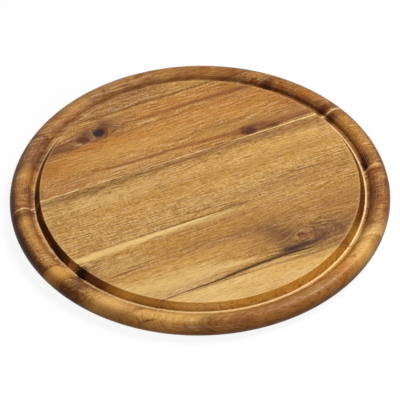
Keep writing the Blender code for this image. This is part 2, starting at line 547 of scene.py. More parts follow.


# Where the finish, the painted shade and the painted highlights change across the rim, and how far up a
# steep or a level surface faces
FACE_ARRIS = (in_from_rim(21.2, 20.4), in_from_rim(19.4, 19.8))
RIM_COLOURED = in_from_rim(20.2, 19.6)
RIM_POLISHED = in_from_rim(20.0, 18.0)
GROOVE_SIDES = (in_from_rim(20.0, 19.6), in_from_rim(14.4, 14.8))
FLOOR_LINE = (in_from_rim(16.8, 16.4), in_from_rim(15.2, 15.6))
BEAD_MARKED = in_from_rim(15.0, 12.0)
BEAD_SHADED_UNDERSIDE = in_from_rim(8.0, 5.0)
BEAD_SHADED_HEIGHT = (9.5, 5.0)
BEAD_SHADED_SIDE = in_from_rim(5.5, 1.0)
STEEP = (0.85, 0.6)
LEVEL = (0.5, 0.8)

# How the pores, the end grain, the turning marks and their painted highlights, the painted highlight on the
# arris, and the oil show
PORE_SIZE = (7.0, 0.5, 0.5)
PORE_SHOWS = (0.54, 0.66)
SAPWOOD_LESS_PORES = -0.7
SAPWOOD_LESS_END_GRAIN = -0.9
END_GRAIN_FALL = 1.3
ARRIS_HIGHLIGHT = 0.12
MARK_PITCH = 0.7
MARK_SHOWS = (0.5, 0.75)
MARK_HIGHLIGHT_STRENGTH = 0.2
MARK_BREAK_SIZE = (16.0, 12.0, 12.0)
MARK_BREAKS = (0.35, 0.65)
DARK_WOOD = (0.03, 0.12)
FACE_ROUGHNESS = 0.38
RIM_ROUGHNESS = 0.26
FIBRE_ROUGHNESS = 0.2
PORE_ROUGHNESS = 0.12
OIL_SPECULAR = 0.08
FIBRE_RELIEF = 0.4
BUMP_STRENGTH = 0.4
BUMP_HEIGHT = 0.08


def oil_and_painted_light(wood, floor, end_grain=0.9, pores=0.5, sapwood=None, rim=PLAIN_RIM):
    """Finish a stave's wood: pores, the colours of the turned rim and of end grain, painted shade and
    painted highlights on the rim, and the oil's sheen.
    """
    dashes = wood.rise(wood.streaks(*PORE_SIZE, detail=1.0), *PORE_SHOWS)
    pore_share = wood.times(wood.times(dashes, pores), wood.grain_strength)
    if sapwood:
        heartwood = wood.calc("MULTIPLY_ADD", sapwood, SAPWOOD_LESS_PORES, 1.0)
        pore_share = wood.times(pore_share, heartwood)
    wood.tint(pore_share, PORE)

    # The turned rim, with painted shade on the bead and painted highlights on the arris and the turning
    # marks
    # Painted highlight: a pale line on the rounded arris at the edge of the cutting face
    wood.tint(wood.times(wood.between(wood.radius, *FACE_ARRIS), ARRIS_HIGHLIGHT), PALE)
    wood.tint(wood.rise(wood.radius, *RIM_COLOURED), stain(*rim), "MULTIPLY")
    # Painted shade: the outer side of the bead darkened all round
    wood.tint(wood.rise(wood.radius, *BEAD_SHADED_SIDE), SIDE_SHADE, "MULTIPLY")
    # Painted shade: the bead darkened low on its outer side, more towards the table
    low = wood.rise(wood.height, *BEAD_SHADED_HEIGHT)
    wood.tint(wood.times(wood.rise(wood.radius, *BEAD_SHADED_UNDERSIDE), low), UNDER_SHADE, "MULTIPLY")
    # Pale turning marks round the bead: partly the marks of the turning tool, partly painted highlights
    # along them
    marks = wood.rise(wood.turning_marks(MARK_PITCH), *MARK_SHOWS, 0.0, MARK_HIGHLIGHT_STRENGTH)
    broken = wood.rise(wood.streaks(*MARK_BREAK_SIZE, detail=0.0), *MARK_BREAKS)
    marks = wood.times(wood.times(marks, broken), wood.rise(wood.radius, *BEAD_MARKED))
    wood.tint(marks, PALE)
    ends = wood.times(wood.calc("POWER", wood.end_grain, END_GRAIN_FALL), end_grain)
    if sapwood:
        heartwood = wood.calc("MULTIPLY_ADD", sapwood, SAPWOOD_LESS_END_GRAIN, 1.0)
        ends = wood.times(ends, heartwood)
    wood.tint(ends, END_GRAIN, "MULTIPLY")

    # The walls and the floor of the groove: painted shade on the steep walls, and a cream line on the floor
    # Painted shade: the steep walls of the groove darkened and warmed
    steep = wood.rise(wood.facing_up, *STEEP)
    wood.tint(wood.times(wood.between(wood.radius, *GROOVE_SIDES), steep), GROOVE_WALL_SHADE, "MULTIPLY")
    # A cream line on the level floor of the groove, less of it on the darkest wood: partly the floor's
    # paler wood, partly a painted highlight
    lightness = wood.add("ShaderNodeRGBToBW")
    wood.feed(lightness.inputs[0], wood.colour)
    shine = wood.rise(lightness.outputs[0], *DARK_WOOD, 0.0, floor)
    line = wood.times(wood.between(wood.radius, *FLOOR_LINE), shine)
    wood.tint(wood.times(line, wood.rise(wood.facing_up, *LEVEL)), FLOOR_HIGHLIGHT)

    # The oiled surface
    wood.feed(wood.shader.inputs["Base Color"], wood.colour)
    roughness = wood.rise(wood.radius, *RIM_POLISHED, FACE_ROUGHNESS, RIM_ROUGHNESS)
    roughness = wood.calc("MULTIPLY_ADD", wood.fibre, FIBRE_ROUGHNESS, roughness)
    roughness = wood.calc("MULTIPLY_ADD", dashes, PORE_ROUGHNESS, roughness)
    wood.feed(wood.shader.inputs["Roughness"], roughness)
    wood.shader.inputs["Specular IOR Level"].default_value = OIL_SPECULAR
    relief = wood.calc("MULTIPLY_ADD", wood.fibre, FIBRE_RELIEF, wood.times(dashes, -1.0))
    bump = wood.add("ShaderNodeBump")
    wood.feed(bump.inputs["Height"], relief)
    bump.inputs["Strength"].default_value = BUMP_STRENGTH
    bump.inputs["Distance"].default_value = BUMP_HEIGHT * MM
    wood.feed(wood.shader.inputs["Normal"], bump.outputs[0])
    return wood.material


NO_SEAM_MARGIN = 1.0


def fit_stave(node, wood):
    """Make the finished stave in the place of its rough one and give it its wood.
    A side that comes within the margin of the rim is the rim itself and has no seam."""
    lowest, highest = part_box(node)
    low = None if lowest.y / MM < NO_SEAM_MARGIN - BOARD_RADIUS else lowest.y / MM
    high = None if highest.y / MM > BOARD_RADIUS - NO_SEAM_MARGIN else highest.y / MM
    stave = turned_stave(node + "_finished", low, high)
    stave.data.materials.append(wood)
    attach(stave, "root")
    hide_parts(node)


RUST = stain(146, 84, 36)
AMBER = stain(222, 166, 86)
RING_BOW = 0.8
wood = acacia(
    "back_edge_acacia",
    seed=11.0,
    tones=(stain(118, 72, 28), stain(164, 114, 59), stain(188, 139, 79), stain(216, 171, 110)),
    tilt=25.0,
    fine=1.15,
    rim_grain=0.6,
)

# A brown band, the dark line along the seam, and the growth rings behind it
wood.vein(RUST, 0.4, (-70, 105, 0.0), (-30, 106, 3.0), (30, 106, 3.0), (70, 105, 0.0), soft=1.0)
wood.vein(
    UMBER, 0.75,
    (-90, 92.2, 0.6), (-60, 92.2, 0.3), (-20, 92.2, 0.6), (30, 92.1, 0.7), (90, 92.1, 0.7),
)
for level, half in ((97.5, 0.5), (101.5, 0.8), (106.5, 0.7), (110.0, 1.1), (113.0, 0.6), (116.0, 0.9)):
    wood.vein(UMBER, 0.3, (-90, level, half), (0, level + RING_BOW, half), (90, level, half))

# Patches of colour on the face and the rim
wood.spot(RUST, 0.3, (72, 98), (14, 12), soft=1.2)
wood.spot(AMBER, 0.6, (38, 99), (22, 6), soft=1.2)
wood.rim_spot(AMBER, 0.4, 110, 117, (6, 11))
wood.rim_spot(RUST, 0.5, 57, 116, (7, 15))
wood.rim_spot(AMBER, 0.25, 76, 117, (6, 12))
fit_stave("back_edge_stave", oil_and_painted_light(wood, floor=0.12))

# Back stave
# A wide stave of orange-brown heartwood with a double knot and a single one, where branches grew.
# It is sawn, glued, turned and oiled with the rest of the panel.
SLATE = stain(40, 34, 36)
PLUM = stain(104, 60, 46)
MAUVE = stain(158, 106, 63)
HAZEL = stain(118, 78, 46)
EBONY = stain(34, 16, 12)
ASH = stain(192, 146, 118)
COPPER = stain(196, 122, 46)
OCHRE = stain(184, 134, 62)
wood = acacia(
    "back_acacia",
    seed=23.0,
    tones=(stain(134, 82, 26), stain(183, 127, 60), stain(203, 149, 79), stain(224, 174, 108)),
    knots=(
        ((-38.0, 77.5), (9.0, 5.5), 0.8),
        ((-51.0, 75.5), (7.0, 4.5), 0.6),
        ((54.0, 38.8), (9.0, 4.5), 0.7),
    ),
    fine=1.1,
    blotch=1.0,
)

# Bands and patches of colour on the face, and a dark stretch of the groove's wall
wood.patches(
    (AMBER, 0.55, (-25, 58), (60, 9), 1.2),
    (COPPER, 0.5, (-40, 67), (46, 5.5), 1.3),
    (COPPER, 0.45, (66, 63), (38, 9), 1.3),
    (RUST, 0.2, (64, 67), (22, 8), 1.3),
    (COPPER, 0.35, (12, 66), (44, 5.5), 1.3),
    (OCHRE, 0.5, (40, 46.5), (26, 4.5), 1.3),
    (OCHRE, 0.35, (-58, 54), (26, 10), 1.3),
    (COPPER, 0.6, (-82, 57), (20, 8), 1.3),
    (COPPER, 0.35, (10, 82), (46, 4.5), 1.3),
    (RUST, 0.5, (60, 82), (20, 7), 1.3),
)
wood.rim_spot(EBONY, 0.4, 158, 106.4, (1.6, 14), soft=0.5)
wood.patches(
    (HAZEL, 0.3, (38, 51.5), (26, 4.0), 1.3),
    (RUST, 0.35, (-84, 58), (13, 7), 1.3),
    (MAUVE, 0.38, (-78, 40), (30, 6.5), 1.2),
    (MAUVE, 0.4, (92, 46), (18, 8), 1.2),
    (PALE, 0.12, (-38, 39.5), (46, 5), 1.3),
    (MAUVE, 0.4, (-26, 85), (22, 6.5), 1.2),
    (UMBER, 0.12, (84, 42), (26, 8), 1.3),
    (AMBER, 0.2, (16, 88), (34, 3), 1.2),
    (RUST, 0.6, (97, 66), (17, 27), 1.0),
)

# Patches of colour on the rim, and painted shade on the bead's outer side at the left
for colour, strength, bearing, radius, reach in (
    (PLUM, 0.5, 130.5, 113.5, (5, 7)),
    (COPPER, 0.5, 29, 118, (6, 9)),
    (PLUM, 0.4, 22, 115.5, (4, 4)),
    (AMBER, 0.6, 145, 117, (6, 24)),
    (PLUM, 0.5, 43, 115, (7, 4.5)),
    # Painted shade: the bead's outer side at the left darkened
    (SLATE, 0.9, 162, 126.5, (4.8, 28)),
):
    wood.rim_spot(colour, strength, bearing, radius, reach)
wood.spot(PLUM, 0.6, (-88, 80), (20, 13), soft=1.2)

# Brown streaks along the rings
wood.vein(
    RUST, 0.75,
    (-26, 79, 0.0), (0, 78.4, 1.7), (40, 78, 2.6), (66, 77.4, 2.8), (112, 76, 3.2),
    soft=1.1,
)
wood.vein(PLUM, 0.35, (10, 78.4, 0.0), (40, 78, 1.4), (76, 77.6, 1.8), (96, 77, 0.0), soft=1.1)
wood.vein(RUST, 0.45, (-30, 72, 0.0), (-10, 71.5, 1.2), (30, 71.5, 1.0), (75, 70, 0.0), soft=1.1)
wood.vein(RUST, 0.6, (-66, 69.6, 0.0), (-52, 69, 1.4), (-40, 68.6, 0.0), soft=1.0)
wood.vein(
    RUST, 0.85,
    (-58, 46.4, 0.0), (-46, 45.2, 1.4), (-27, 44.0, 1.6), (6, 43.2, 1.7), (31, 41.2, 2.0), (50, 39.4, 1.7),
    soft=1.1, ragged=0.7,
)
wood.vein(PLUM, 0.5, (-124, 72, 8.0), (-92, 73, 6.0), (-66, 73, 4.0), (-54, 73, 0.0), soft=1.3)

# The double knot near the back, with the dark wood about it
wood.spot(PLUM, 0.65, (-66, 74.5), (17, 5.5), soft=1.3)
wood.spot(PLUM, 0.6, (-34, 79.5), (22, 9.5), soft=1.2)
wood.spot(PLUM, 0.65, (-45, 77), (15, 7), soft=1.2)
wood.spot(SLATE, 0.45, (-45.5, 81), (4.5, 3.5), soft=1.3)
wood.spot(PLUM, 0.6, (-32, 84.5), (5, 7), soft=1.2, turn=0.3)
wood.spot(PLUM, 0.75, (-50.6, 75.6), (6.4, 4.6), soft=0.8, ragged=0.5)
wood.spot(UMBER, 0.7, (-51.0, 75.8), (4.4, 3.0), soft=0.9, ragged=0.4)
wood.ring(ASH, 0.25, (-51.0, 75.4), (5.6, 3.9), 0.16, ragged=0.6)
wood.spot(PLUM, 0.6, (-45.8, 77.6), (4.0, 4.4), soft=0.9, ragged=0.5)
wood.spot(MAUVE, 0.6, (-38.6, 77.3), (7.4, 6.2), soft=0.5)
wood.ring(UMBER, 0.6, (-38.2, 77.3), (6.8, 5.6), 0.2, ragged=0.9)
wood.spot(PLUM, 0.8, (-38.0, 77.6), (5.6, 5.0), soft=0.5, ragged=0.5)
wood.mottle(ASH, 0.4, (-42.4, 78.2), (4.8, 6.0), 1.9)
wood.mottle(UMBER, 0.8, (-44.0, 79.4), (4.4, 4.4), 1.8, scarce=0.54)
wood.spot(SLATE, 0.97, (-37.6, 77.8), (4.6, 4.0), soft=0.5, ragged=0.45, turn=0.25)
wood.spot(PALE, 0.35, (-54.4, 73.0), (2.4, 0.9), soft=1.0)
wood.spot(SLATE, 0.35, (-24.5, 77.6), (6.5, 0.8), soft=1.0, turn=-0.6)
wood.spot(PALE, 0.2, (-23.5, 78.6), (5.0, 0.5), soft=1.0, turn=-0.6)

# The single knot at the seam with the middle stave, and the dark line to the right of it
wood.spot(MAUVE, 0.6, (72, 41), (34, 6), soft=1.2)
wood.spot(PLUM, 0.55, (57, 39.2), (14, 5.6), soft=1.2)
wood.spot(PLUM, 0.95, (53.0, 38.4), (6.4, 4.4), soft=0.5, ragged=0.2)
wood.spot(UMBER, 0.8, (52.4, 38.0), (5.6, 3.6), soft=0.8, ragged=0.4)
wood.spot(EBONY, 0.4, (52.6, 38.0), (4.6, 2.8), soft=0.9, ragged=0.3)
wood.spot(PLUM, 0.6, (62.0, 39.8), (5.0, 1.6), soft=0.9, ragged=0.4)
wood.spot(UMBER, 0.95, (68.0, 36.6), (8.0, 2.0), soft=0.8, ragged=0.4)
wood.spot(MAUVE, 0.7, (60.6, 38.2), (4.2, 1.1), soft=1.0, turn=-0.3)
wood.mottle(MAUVE, 0.2, (52.4, 39.4), (4.4, 3.2), 1.8)
wood.vein(PLUM, 0.6, (62, 37.4, 0.0), (80, 37.4, 1.4), (100, 37.4, 1.3), (123, 37, 2.0), soft=0.9)

# A thin pale line along that seam
wood.vein(
    PALE, 0.85,
    (-122, 34.0, 0.7), (-96, 34.1, 0.8), (-48, 34.1, 0.7), (-35, 34.0, 0.5),
    (-15, 33.9, 0.85), (12, 33.9, 0.9), (27, 33.8, 0.5), (44, 33.8, 0.0),
)
wood.vein(PALE, 0.9, (36, 33.7, 0.0), (50, 33.6, 0.7), (80, 33.5, 1.0), (122, 33.5, 0.9))
wood.spot(PALE, 0.85, (56, 33.8), (18, 0.5), soft=0.6, ragged=0.15)

# Dark patches in the groove and on the rim
wood.spot(MAUVE, 0.4, (76, 90), (12, 10), soft=1.2)
wood.spot(MAUVE, 0.45, (-112, 41), (11, 9), soft=1.2)
wood.spot(UMBER, 0.6, (-99, 44), (4, 12), soft=1.0, turn=0.35)
wood.spot(UMBER, 0.9, (82.5, 75.5), (5.5, 4.5), soft=0.9)
wood.spot(UMBER, 0.85, (107.5, 38.5), (4.5, 3.0), soft=0.9)
fit_stave("back_stave", oil_and_painted_light(wood, floor=0.35))

# Middle stave
# A wide stave of lighter golden wood with straight grain, and a grey-brown band along its back edge.
# It is sawn, glued, turned and oiled with the rest of the panel.
wood = acacia(
    "middle_acacia",
    seed=37.0,
    tones=(stain(148, 99, 37), stain(194, 146, 76), stain(211, 165, 93), stain(230, 190, 122)),
    fine=1.2,
    bands_share=0.05,
    blush=0.12,
    spacing=2.3,
    line_length=20.0,
)

# Bands and patches of colour on the face
wood.patches(
    (AMBER, 0.35, (76, 18), (40, 9), 1.3),
    (PALE, 0.2, (-56, 19), (70, 7), 1.3),
    (PALE, 0.2, (92, 21), (18, 5), 1.3),
    (PALE, 0.2, (-97, 29), (9, 4), 1.2),
    (OCHRE, 0.75, (72, 8), (54, 5.0), 1.3),
    (AMBER, 0.35, (10, 3), (110, 9), 1.3),
    (AMBER, 0.3, (20, 20), (100, 7), 1.3),
    (OCHRE, 0.45, (-20, 9), (80, 5.0), 1.3),
    (MAUVE, 0.65, (58, -16), (60, 7), 1.3),
    (PALE, 0.15, (-6, -10), (44, 5), 1.3),
    (MAUVE, 0.15, (-50, -20), (60, 4.5), 1.3),
)

# The grey-brown band along the back edge, and flecks along it and nearer the front
wood.vein(
    HAZEL, 0.58,
    (-124, 29.6, 2.2), (-96, 29.8, 2.6), (-78, 29.8, 4.0), (-30, 30.4, 3.2), (5, 30.6, 2.2), (34, 32, 0.0),
    soft=1.3, ragged=0.9,
)
wood.vein(
    MAUVE, 0.7,
    (-30, 31, 0.0), (20, 30.2, 3.4), (60, 29.6, 4.4), (124, 28.6, 5.0),
    soft=1.4, ragged=0.9,
)
wood.spot(HAZEL, 0.4, (55, 31), (16, 3), soft=1.2)
wood.flecks(UMBER, 0.5, 7.0, 0.8, scarce=0.5, near=(29.0, 8.0))
wood.flecks(UMBER, 0.35, 14.0, 0.8, scarce=0.6, near=(-16.0, 9.0))

# Short dark lines
for strength, *line in (
    (0.6, (-24, -5.0, 0.0), (-8, -5.0, 0.4), (12, -4.8, 0.0)),
    (0.6, (40, -10.4, 0.0), (68, -10.0, 0.6), (96, -10.4, 0.0)),
    (0.6, (-24, -17.8, 0.0), (-8, -17.8, 0.5), (14, -17.6, 0.0)),
):
    wood.vein(UMBER, strength, *line)
wood.vein(
    UMBER, 0.75,
    (-62, -23.5, 0.0), (-40, -23.5, 0.4), (-8, -23.4, 0.5), (22, -23.4, 0.4), (40, -23.6, 0.0),
)
wood.spot(UMBER, 0.6, (14, -21.8), (6, 1.3), soft=1.0)

# Dark and light patches in the groove and on the rim, and painted shade on the bead's outer side at the
# left
wood.spot(UMBER, 0.85, (-118, 28.5), (10, 4.5), soft=0.9)
wood.spot(UMBER, 0.95, (110, 29.5), (6.0, 3.6), soft=0.8)
wood.spot(EBONY, 0.9, (108.4, 29.6), (3.0, 3.2), soft=0.7)
wood.rim_spot(UMBER, 0.9, 178, 106.4, (1.6, 30), soft=0.5)
wood.rim_spot(EBONY, 0.6, 163, 106.4, (1.6, 8), soft=0.5)
wood.rim_spot(EBONY, 0.6, 188, 106.4, (1.6, 11), soft=0.5)
wood.rim_spot(AMBER, 0.45, 176, 115.5, (5.5, 26))
wood.rim_spot(AMBER, 0.55, 5, 116, (8, 26))
# Painted shade: the bead's outer side at the left darkened
wood.rim_spot(SLATE, 0.95, 177, 126.5, (4.8, 46))
wood.spot(RUST, 0.35, (112, -14), (7, 12), soft=1.0)
wood.mottle(RUST, 0.4, (118, 2), (6, 30), 3.0)
wood.rim_spot(PLUM, 0.6, 350.5, 113.6, (4.0, 8), soft=0.9)
wood.rim_spot(EBONY, 0.98, 350.2, 111.8, (2.4, 9.5), soft=0.7)
wood.rim_spot(RUST, 0.75, 4, 109.2, (1.6, 26), soft=0.7)
fit_stave("middle_stave", oil_and_painted_light(wood, end_grain=0.85, floor=0.75, rim=(250, 240, 222)))

# Front stave
# A wide stave with pale sapwood along its back edge, brown heartwood, a knot and a blue-black streak.
# It is sawn, glued, turned and oiled with the rest of the panel.
STRAW = stain(240, 200, 128)
GRAPE = stain(98, 60, 42)
wood = acacia(
    "front_acacia",
    seed=41.0,
    tones=(stain(126, 82, 30), stain(182, 132, 65), stain(202, 155, 82), stain(224, 181, 111)),
    lean=0.03,
    knots=(((44.4, -68.3), (9.0, 7.0), 0.7),),
)

# Bands and patches of colour on the face
sap_band = wood.vein(
    STRAW, 0.75,
    (-110, -68, 10.0), (-60, -70, 10.0), (-20, -72, 6.5), (-4, -73, 3.4), (10, -74, 0.0),
    soft=1.3,
)
wood.patches(
    (PALE, 0.2, (-78, -43), (26, 8), 1.3),
    (MAUVE, 0.5, (0, -49), (44, 6), 1.3),
    (RUST, 0.3, (11, -60), (26, 8), 1.3),
    (RUST, 0.35, (84, -42), (34, 14), 1.4),
    (MAUVE, 0.5, (76, -50), (34, 9), 1.4),
    (RUST, 0.55, (82, -60), (15, 7), 1.3),
    (AMBER, 0.3, (4, -60), (28, 8), 1.3),
    (AMBER, 0.5, (-38, -57), (50, 7.0), 1.3),
    (OCHRE, 0.6, (6, -41), (64, 7), 1.3),
    (MAUVE, 0.4, (2, -31.4), (44, 3.6), 1.3),
    (PALE, 0.1, (42, -33), (26, 6), 1.3),
    (PALE, 0.35, (-52, -80), (26, 6), 1.2),
)

# Sapwood along the seam with the middle stave
sapwood = wood.vein(
    STRAW, 0.9,
    (-124, -30.5, 5.6), (-95, -28.4, 5.0), (-75, -27.4, 4.2), (-50, -26.6, 3.4),
    (-30, -25.8, 2.2), (-14, -25.2, 1.1), (4, -24.8, 0.0),
    soft=0.9, ragged=0.6,
)
wood.spot(PALE, 0.4, (-12, -26.4), (30, 3.4), soft=1.3)
wood.vein(PALE, 0.8, (-30, -24.9, 0.0), (-10, -24.9, 0.5), (16, -24.8, 0.5), (26, -24.8, 0.0))

# The knot, the brown wood about it and the blue-black stain in front of it
wood.spot(PLUM, 0.5, (26, -54), (26, 13), soft=1.2)
wood.spot(GRAPE, 0.58, (56, -71), (34, 13), soft=1.1)
wood.spot(GRAPE, 0.45, (28, -57), (9, 7), soft=1.3, turn=-0.7)
wood.patches(
    (GRAPE, 0.6, (33, -64), (10, 10), 1.3),
    (GRAPE, 0.4, (54, -65), (5, 7), 1.1),
    (GRAPE, 0.7, (57, -71), (4, 4), 1.1),
    (GRAPE, 0.5, (70, -69), (14, 8), 1.3),
    (MAUVE, 0.7, (44.6, -68.2), (6.4, 5.8), 0.7),
    (UMBER, 0.3, (44.4, -67.4), (5.0, 4.2), 1.0),
)
wood.ring(STRAW, 0.18, (44.4, -68.1), (5.8, 5.2), 0.16, ragged=0.9)
wood.mottle(STRAW, 0.25, (45.0, -69.6), (4.8, 3.4), 1.9)
wood.mottle(UMBER, 0.85, (44.0, -66.8), (4.6, 3.0), 2.4, scarce=0.47)
wood.spot(UMBER, 0.7, (44.0, -66.4), (2.8, 0.8), soft=0.9, turn=0.5)
wood.mottle(GRAPE, 0.5, (60, -66), (16, 11), 3.2)
wood.mottle(ASH, 0.16, (62, -67), (14, 9), 2.4, scarce=0.53)
wood.spot(GRAPE, 0.6, (51.5, -69), (3.0, 6.5), soft=1.2, turn=-0.3)
wood.spot(GRAPE, 0.75, (39, -75.4), (18, 4.0), soft=1.1)
wood.spot(GRAPE, 0.6, (24, -76.6), (7, 1.6), soft=1.1)
wood.spot(SLATE, 0.92, (34.5, -75.4), (13, 3.5), soft=1.1, ragged=0.4, turn=-0.02)
wood.spot(SLATE, 0.8, (48, -75.2), (9, 1.9), soft=1.1, ragged=0.4)

# The blue-black streak and the lines in front of it
wood.vein(
    EBONY, 0.85,
    (-70, -84.2, 0.0), (-47, -83, 0.5), (-27, -82, 0.8), (-5, -79.8, 1.4),
    (8, -78.9, 1.4), (23, -78.0, 1.3), (38, -77.0, 0.9), (52, -76.2, 0.0),
)
wood.spot(PALE, 0.3, (12, -82.4), (20, 1.7), soft=1.1)
wood.vein(GRAPE, 0.5, (24, -79.6, 0.0), (34, -79.8, 0.9), (50, -79.6, 1.2), (76, -79, 0.0), soft=1.0)
wood.vein(GRAPE, 0.5, (36, -84.4, 0.0), (46, -84.2, 0.9), (58, -83.6, 1.0), (74, -82.8, 0.0), soft=1.0)
wood.spot(STRAW, 0.3, (30, -82.2), (24, 1.5), soft=1.2)

# Short dark lines and flecks
for strength, *line in (
    (0.6, (-94, -34.6, 0.0), (-88, -34.2, 0.6), (-80, -33.6, 0.0)),
    (0.85, (-88, -51, 0.0), (-76, -50.6, 0.6), (-60, -49.8, 0.0)),
    (0.6, (-82, -48.2, 0.0), (-64, -47.6, 0.5), (-40, -46.6, 0.0)),
    (0.5, (-38, -46.6, 0.0), (-24, -45.2, 0.5), (-14, -44, 0.0)),
    (0.4, (-64, -78.6, 0.0), (-40, -77.6, 0.4), (-8, -76, 0.0)),
):
    wood.vein(UMBER, strength, *line)
wood.flecks(UMBER, 0.45, 12.0, 0.8, scarce=0.6, near=(-40.0, 14.0))

# Dark patches and sapwood in the groove and on the rim
wood.spot(PLUM, 0.42, (-108, -46), (13, 9), soft=1.1, ragged=0.6)
sap_patch = wood.spot(AMBER, 0.75, (-116, -31), (12, 8.0), soft=0.7)
wood.spot(PALE, 0.8, (115.5, -24.9), (11, 0.7), soft=0.8, ragged=0.15)
wood.rim_spot(PLUM, 0.55, 333, 106.4, (1.8, 20), soft=0.6)
wood.rim_spot(PLUM, 0.55, 205, 106.4, (1.8, 14), soft=0.6)
wood.rim_spot(PLUM, 0.4, 204, 117, (6, 6))
wood.mottle(PLUM, 0.4, (-108, -52), (10, 12), 3.0)
wood.rim_spot(RUST, 0.7, 195.5, 106.6, (1.8, 5), soft=0.6)
sap_front = wood.spot(STRAW, 0.6, (-93, -71), (15, 15), soft=1.2)
sap_right = wood.rim_spot(STRAW, 0.85, 314, 121, (10, 11))
sap_side = wood.rim_spot(PALE, 0.95, 317, 125.0, (6.5, 18))
sap_low = wood.rim_spot(STRAW, 0.4, 218, 124, (5, 9))
sap_wall = wood.rim_spot(STRAW, 0.6, 314, 109, (5, 13))
sap_corner = wood.rim_spot(STRAW, 0.5, 228, 107, (3, 9))
for patch in (sap_band, sap_patch, sap_front, sap_right, sap_side, sap_low, sap_wall, sap_corner):
    sapwood = wood.calc("MAXIMUM", sapwood, patch)
wood.rim_spot(EBONY, 0.97, 199.8, 107.0, (4.2, 5.4), soft=0.6, ragged=0.5)
wood.rim_spot(PLUM, 0.65, 333, 114, (6, 22))
wood.rim_spot(AMBER, 0.35, 331, 125, (5, 10))
finish = oil_and_painted_light(wood, end_grain=0.75, sapwood=sapwood, floor=0.75, rim=(250, 238, 218))
fit_stave("front_stave", finish)

# Front edge stave
# The narrow stave at the front of the panel, pale sapwood on the face and brown heartwood at the rim.
# It is sawn, glued, turned and oiled with the rest of the panel.
GOLD = stain(216, 194, 122)
BEAD_FLANK = (in_from_rim(14.6, 13.8), in_from_rim(8.0, 11.5))
BAND_DRIFT = 1.2
HEART = (14.6, -119.1)
HEART_TURN = math.radians(277)
wood = acacia(
    "front_edge_acacia",
    seed=59.0,
    tones=(stain(188, 139, 70), stain(220, 176, 104), stain(234, 194, 124), stain(246, 212, 148)),
    tilt=-50.0,
    fine=0.5,
    spacing=2.3,
    blotch=0.35,
    fleck=RUST,
    rim_grain=1.6,
)

# Brown heartwood on the bead, with its darker rings
wood.vein(
    RUST, 0.65,
    (-66, -119, 0.0), (-30, -118, 8.0), (20, -117, 11.0), (60, -117, 10.0), (80, -119, 0.0),
    soft=1.2, ragged=0.8,
)
wood.vein(
    UMBER, 0.35,
    (-60, -109, 0.0), (-44, -108.6, 1.2), (0, -108.6, 1.0), (40, -106.6, 1.0), (66, -106, 0.0),
    soft=1.2, ragged=0.9,
)
for level in (-111.5, -113.6, -115.8, -117.6):
    band = ((-50, level, 0.3), (0, level, 0.6), (60, level + BAND_DRIFT, 0.4))
    wood.vein(UMBER, 0.15, *band, soft=1.0)
wood.vein(
    MAUVE, 0.5,
    (-30, -119.5, 0.0), (20, -119.5, 2.5), (56, -119.5, 0.0),
    soft=1.3, ragged=0.9,
)
wood.tint(wood.between(wood.radius, *BEAD_FLANK), GOLD, "MULTIPLY")

# Patches of colour on the face and the rim
wood.spot(PALE, 0.3, (-40, -97), (24, 9), soft=1.2)
wood.spot(RUST, 0.5, (-40, -114), (13, 8), soft=1.1)
wood.rim_spot(UMBER, 0.5, 249, 121, (5, 7))
wood.rim_spot(STRAW, 0.4, 234, 118, (6, 18))
wood.rim_spot(ASH, 0.25, 273, 119, (6, 13))
wood.mottle(PLUM, 0.3, (-24, -118), (26, 7), 3.4)
wood.mottle(ASH, 0.2, (12, -118), (40, 8), 2.0)
wood.rim_spot(PLUM, 0.5, 258, 122, (4, 10))
wood.rim_spot(RUST, 0.5, 277, 113, (3.5, 30))
wood.rim_spot(UMBER, 0.4, 244, 124, (4, 12))
wood.spot(RUST, 0.4, (50, -109), (16, 8), soft=1.2)
wood.spot(GRAPE, 0.75, (47, -85.2), (28, 1.4), soft=1.1)
wood.spot(MAUVE, 0.45, (50, -88), (13, 2.6), soft=1.3)
wood.spot(OCHRE, 0.25, (34, -89), (22, 3.4), soft=1.3)
wood.rim_spot(COPPER, 0.75, 298, 118, (6, 9))

# Growth rings where the bead cuts through them, a fine check, and sapwood low on the bead
for radii in ((3.0, 9.0), (5.0, 16.0), (7.0, 24.0)):
    wood.ring(UMBER, 0.2, HEART, radii, 0.14, ragged=0.3, turn=HEART_TURN)
wood.spot(UMBER, 0.7, (-79.2, -94.2), (6.7, 0.6), soft=0.8, ragged=0.3, turn=-0.43)
sapwood = wood.rim_spot(STRAW, 0.85, 308, 124, (6, 10))
finish = oil_and_painted_light(wood, end_grain=0.45, pores=0.3, sapwood=sapwood, floor=0.7, rim=(250, 236, 210))
fit_stave("front_edge_stave", finish)

# Glue lines
# Cured films of wood glue that fill the four seams and hold the staves edge to edge.
# They were squeezed thin in the clamps and turned and sanded flush with the wood.
GLUE_SHRINK = 0.02
GLUE_CLOUD_SIZE = (5.0, 1.0, 1.0)
GLUE_TONES = ((0.3, stain(150, 104, 54)), (0.7, stain(188, 138, 78)))
GLUE_ROUGHNESS = 0.35
GLUE_CLOUD_ROUGHNESS = 0.2
GLUE_SPECULAR = 0.2
glue = Figure("cured_glue", seed=71.0)
glue_clouds = glue.streaks(*GLUE_CLOUD_SIZE)
honey = glue.add("ShaderNodeValToRGB")
glue.feed(honey.inputs[0], glue_clouds)
for stop, (position, colour) in zip(honey.color_ramp.elements, GLUE_TONES):
    stop.position = position
    stop.color = colour
glue.feed(glue.shader.inputs["Base Color"], honey.outputs[0])
glue_roughness = glue.calc("MULTIPLY_ADD", glue_clouds, GLUE_CLOUD_ROUGHNESS, GLUE_ROUGHNESS)
glue.feed(glue.shader.inputs["Roughness"], glue_roughness)
glue.shader.inputs["Specular IOR Level"].default_value = GLUE_SPECULAR


